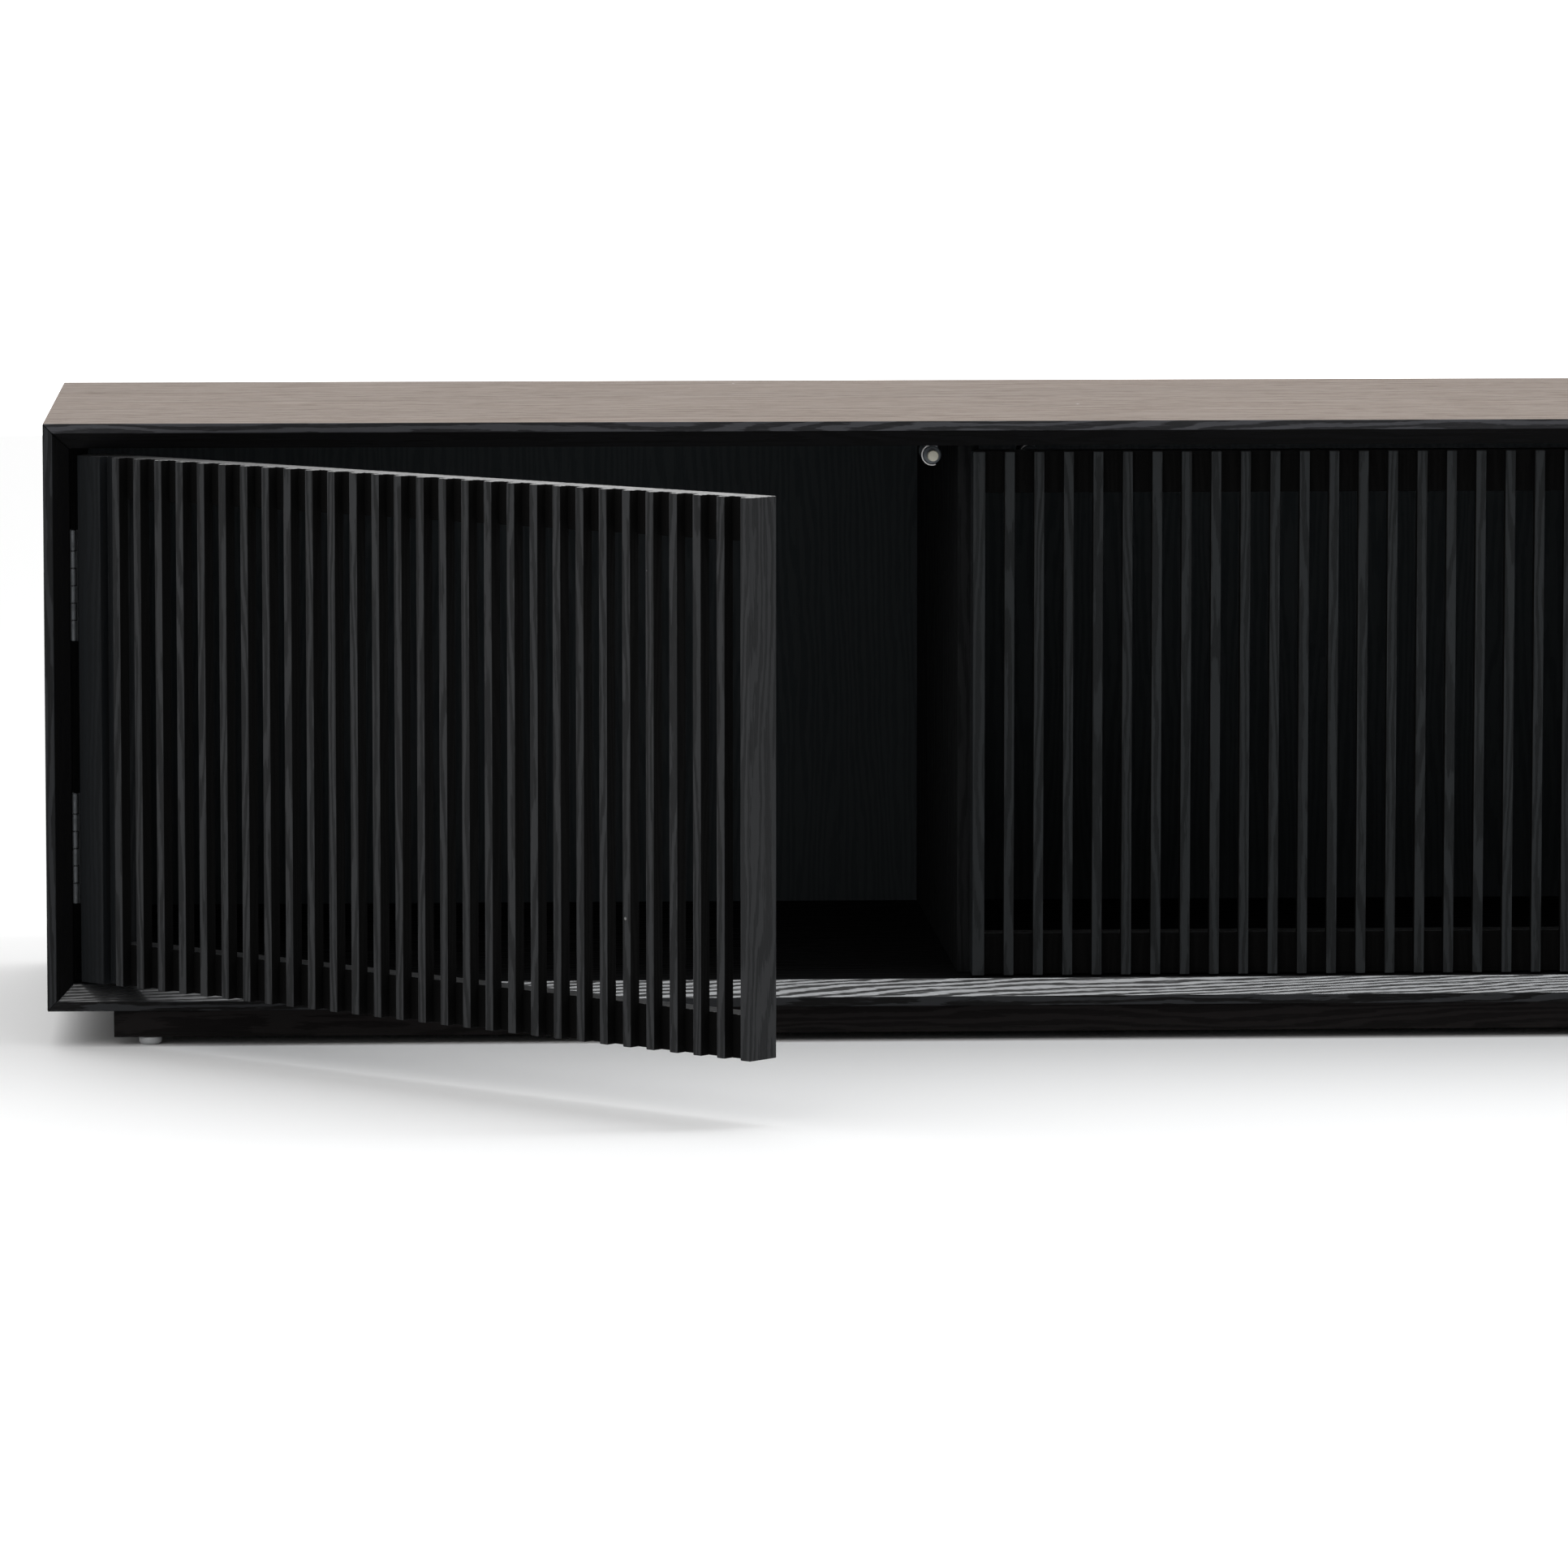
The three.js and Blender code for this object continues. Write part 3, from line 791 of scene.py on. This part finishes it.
for name, side in DOOR_SIDES.items():
    pin = Vector(joints[f"{name}_door_swing"]["pos_m"])
    still = Matrix.Translation((pin.x, pin.y, 0))
    moving = door_place(name)
    for level in ("upper", "lower"):
        title = f"{name}_door_{level}_hinge"
        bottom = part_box(f"{title}_pin")[0].z
        leaves = (
            ("cabinet_leaf", -side, 1, still, "carcass"),
            ("door_leaf", side, 0, moving, f"{name}_door"),
        )
        for leaf, away, first, place, body in leaves:
            shape = leaf_shape(bottom, away, first)
            bmesh.ops.transform(shape, matrix=place, verts=shape.verts)
            plate = finished(f"{title}_{leaf}_plate", shape, hinge_steel, body, True)
            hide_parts(f"{title}_{leaf}")
            shape = bmesh.new()
            for height, across in SCREW_PLACES:
                centre = (
                    leaf_sheet(away)[1] - away * SCREW_SUNK,
                    PIN_AHEAD + across * LEAF_WIDTH,
                    bottom + height * HINGE_LENGTH,
                )
                add_screw(shape, centre, (-away, 0, 0))
            bmesh.ops.transform(shape, matrix=place, verts=shape.verts)
            finished(f"{title}_{leaf}_screws", shape, screw_steel, body)

        shape = bmesh.new()
        lip = PIN_RADIUS - PIN_EASE
        round_end = arc(lip, PIN_EASE, PIN_EASE, -90, 0, 3)
        round_top = arc(lip, HINGE_LENGTH - PIN_EASE, PIN_EASE, 0, 90, 3)
        outline = [(0, 0)] + round_end + round_top + [(0, HINGE_LENGTH)]
        turned(shape, outline, (pin.x, pin.y, bottom), (0, 0, 1), 16)
        rod = finished(f"{title}_rod", shape, hinge_steel, "carcass", True)
        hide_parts(f"{title}_pin")


# The catches: a moulded barrel and plate screwed up under the top panel, held round its
# end by a spring-steel clip, with a sprung ivory plunger that faces the door. A steel
# strike disc is pinned to the back of the door's top rail.
slate_plastic = plastic("slate_plastic", (0.1, 0.115, 0.13), 0.35)
ivory = plastic("ivory", (0.62, 0.6, 0.5), 0.3)
BARREL_RADIUS = 6.5 * MM
PLUNGER_BORE_RADIUS = 3.6 * MM
PLUNGER_BORE_DEPTH = 34 * MM
PLATE_THICKNESS = 2 * MM
NECK_WIDTH = 8 * MM
TIP_RADIUS = 4 * MM
TIP_LENGTH = 7 * MM
SHAFT_RADIUS = 3.4 * MM
CLIP_RADIUS = 7 * MM
CLIP_WIDTH = 8 * MM
CLIP_THICKNESS = 0.8 * MM
STRIKE_RADIUS = 4.5 * MM
STRIKE_THICKNESS = 1 * MM
STRIKE_GAP = 0.3 * MM
STRIKE_EASE = 0.2 * MM
DIMPLE_DEPTH = 0.35 * MM
DIMPLE_RADIUS = 1.8 * MM
DIMPLE_FLOOR = 1.2 * MM
PLATE_CORNER = 3 * MM
CATCH_EASE = 0.8 * MM
CLIP_ANGLE = math.radians(200)
CLIP_TURN = math.radians(70)
CLIP_FROM_FRONT = 0.5 * MM
NECK_FROM_AXIS = 5.5 * MM
NECK_FROM_END = 1 * MM
NECK_OVERLAP = 0.2 * MM
SCREW_FROM_SIDE = 4.5 * MM
SCREW_FROM_END = 8 * MM
for name in DOOR_SIDES:
    low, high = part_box(f"{name}_catch_housing")
    front_tip, back_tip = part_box(f"{name}_catch_plunger")
    axis_x = (front_tip.x + back_tip.x) / 2
    axis_z = (front_tip.z + back_tip.z) / 2
    length = high.y - low.y

    shape = bmesh.new()
    plate_low = high.z - PLATE_THICKNESS
    add_box(shape, (low.x, high.x), (low.y, high.y), (plate_low, high.z))
    ends = [e for e in shape.edges if abs(e.verts[0].co.z - e.verts[1].co.z) > MM]
    ease(shape, ends, PLATE_CORNER, 4)
    neck_width = (axis_x - NECK_WIDTH / 2, axis_x + NECK_WIDTH / 2)
    neck_length = (low.y + NECK_FROM_END, high.y - NECK_FROM_END)
    neck_height = (axis_z + NECK_FROM_AXIS, plate_low + NECK_OVERLAP)
    add_box(shape, neck_width, neck_length, neck_height)
    barrel = bmesh.new()
    mouth = CATCH_EASE / 2
    lip = BARREL_RADIUS - CATCH_EASE
    outline = [(0, PLUNGER_BORE_DEPTH), (PLUNGER_BORE_RADIUS, PLUNGER_BORE_DEPTH)]
    outline += [(PLUNGER_BORE_RADIUS, mouth), (PLUNGER_BORE_RADIUS + mouth, 0)]
    outline += [(lip, 0), (BARREL_RADIUS, CATCH_EASE)]
    outline += [(BARREL_RADIUS, length - CATCH_EASE), (lip, length), (0, length)]
    turned(barrel, outline, (axis_x, low.y, axis_z), (0, 1, 0))
    join_shape(shape, barrel)
    housing = finished(
        f"{name}_catch_barrel", shape, slate_plastic, "carcass", True
    )
    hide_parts(f"{name}_catch_housing")

    shape = bmesh.new()
    for across in (low.x + SCREW_FROM_SIDE, high.x - SCREW_FROM_SIDE):
        for along in (low.y + SCREW_FROM_END, high.y - SCREW_FROM_END):
            add_screw(shape, (across, along, plate_low), (0, 0, -1))
    clip = bmesh.new()
    inner, outer = CLIP_RADIUS, CLIP_RADIUS + CLIP_THICKNESS
    corners = [(inner, 0, 0), (outer, 0, 0), (outer, CLIP_WIDTH, 0), (inner, CLIP_WIDTH, 0)]
    strip = clip.faces.new([clip.verts.new(corner) for corner in corners])
    bmesh.ops.spin(
        clip,
        geom=[strip],
        cent=(0, 0, 0),
        axis=(0, 1, 0),
        angle=CLIP_ANGLE,
        steps=20,
        use_merge=False,
    )
    bmesh.ops.remove_doubles(clip, verts=clip.verts, dist=0.001 * MM)
    bmesh.ops.recalc_face_normals(clip, faces=clip.faces)
    upright = Matrix.Rotation(CLIP_TURN, 4, "Y")
    bmesh.ops.transform(clip, matrix=upright, verts=clip.verts)
    place = Matrix.Translation((axis_x, low.y + CLIP_FROM_FRONT, axis_z))
    bmesh.ops.transform(clip, matrix=place, verts=clip.verts)
    join_shape(shape, clip)
    finished(f"{name}_catch_clip", shape, screw_steel, "carcass")

    shape = bmesh.new()
    reach = back_tip.y - front_tip.y
    outline = [(0, 0)] + arc(TIP_RADIUS - CATCH_EASE, CATCH_EASE, CATCH_EASE, -90, 0, 4)
    outline += [(TIP_RADIUS, TIP_LENGTH), (SHAFT_RADIUS, TIP_LENGTH)]
    outline += [(SHAFT_RADIUS, reach - mouth), (SHAFT_RADIUS - mouth, reach), (0, reach)]
    turned(shape, outline, (axis_x, front_tip.y, axis_z), (0, 1, 0))
    plunger = finished(
        f"{name}_catch_tip", shape, ivory, f"{name}_plunger", True
    )
    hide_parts(f"{name}_catch_plunger")

    shape = bmesh.new()
    dimple = STRIKE_THICKNESS - DIMPLE_DEPTH
    outline = [(0, 0), (STRIKE_RADIUS, 0), (STRIKE_RADIUS, STRIKE_THICKNESS - STRIKE_EASE)]
    outline += [(STRIKE_RADIUS - STRIKE_EASE, STRIKE_THICKNESS)]
    outline += [(DIMPLE_RADIUS, STRIKE_THICKNESS), (DIMPLE_FLOOR, dimple), (0, dimple)]
    from_pin = axis_x - joints[f"{name}_door_swing"]["pos_m"][0]
    centre = (from_pin, PIN_AHEAD + THICKNESS + STRIKE_GAP, axis_z)
    turned(shape, outline, centre, (0, 1, 0))
    put_on_door(shape, name)
    disc = finished(
        f"{name}_door_strike_disc", shape, screw_steel, f"{name}_door", True
    )
    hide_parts(f"{name}_door_strike")


# The screws of the back: small countersunk screws through the back panels into the rebate
# and the partitions, spaced along the top and bottom edges.
SCREW_SPACING = 130 * MM
FROM_EDGE = 4 * MM
FROM_END = 20 * MM
for panel in BACKS:
    low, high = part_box(panel)
    shape = bmesh.new()
    count = round((high.x - low.x - 2 * FROM_EDGE) / SCREW_SPACING)
    step = (high.x - low.x - 2 * FROM_END) / count
    for z in (low.z + FROM_EDGE, high.z - FROM_EDGE):
        for i in range(count + 1):
            add_screw(shape, (low.x + FROM_END + i * step, high.y, z), (0, 1, 0))
    finished(f"{panel}_screws", shape, screw_steel, "carcass")
